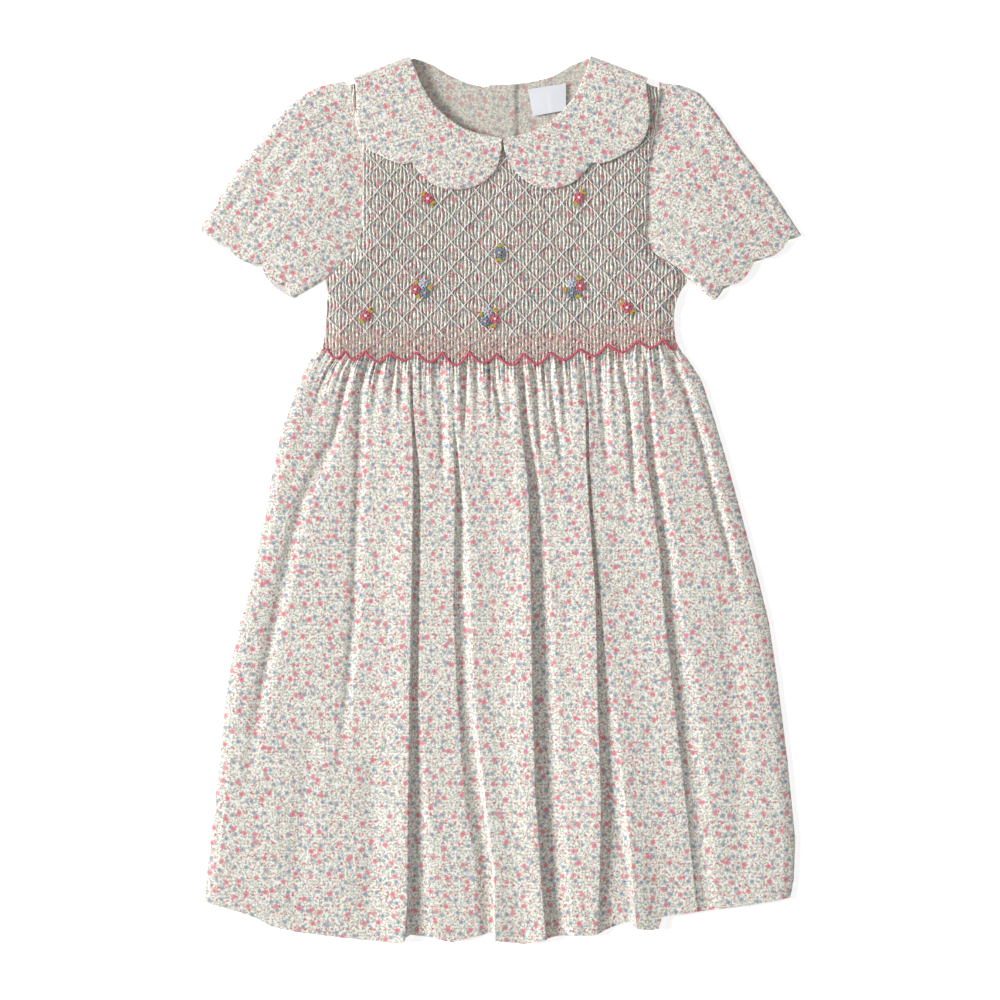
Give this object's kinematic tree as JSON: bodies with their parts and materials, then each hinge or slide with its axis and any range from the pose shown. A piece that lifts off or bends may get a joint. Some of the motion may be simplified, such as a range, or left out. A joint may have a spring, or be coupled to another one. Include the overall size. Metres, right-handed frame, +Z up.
{
  "type": "smocked dress",
  "caption": "Child's short-sleeved dress laid flat, with a smocked bodice, a flat scalloped collar, scalloped sleeves and a gathered skirt.",
  "frame": {"origin": "on the surface that the dress lies on, under the middle of its outline", "axes": "+Z up from the surface, out of the front; +Y towards the neck; +X to the right of the front as seen from above"},
  "size_m": [0.477, 0.7011, 0.009],
  "materials": {
    "smocked_cotton": "cream cotton with a small rose, blue-grey and olive flower print, drawn into smocked pleats on the bodice",
    "printed_cotton": "cream cotton with the same small flower print, plain weave",
    "label_cloth": "blank white woven satin tape",
    "pearl_button": "pearly off-white"
  },
  "bodies": {
    "root": {"front": "smocked_cotton", "back_bodice_left": "printed_cotton", "back_bodice_right": "printed_cotton", "back_skirt": "printed_cotton", "sleeve_left": "printed_cotton", "sleeve_right": "printed_cotton", "collar_left": "printed_cotton", "collar_right": "printed_cotton", "label": "label_cloth", "button_1": "pearl_button", "button_2": "pearl_button", "button_3": "pearl_button"}
  },
  "joints": []
}
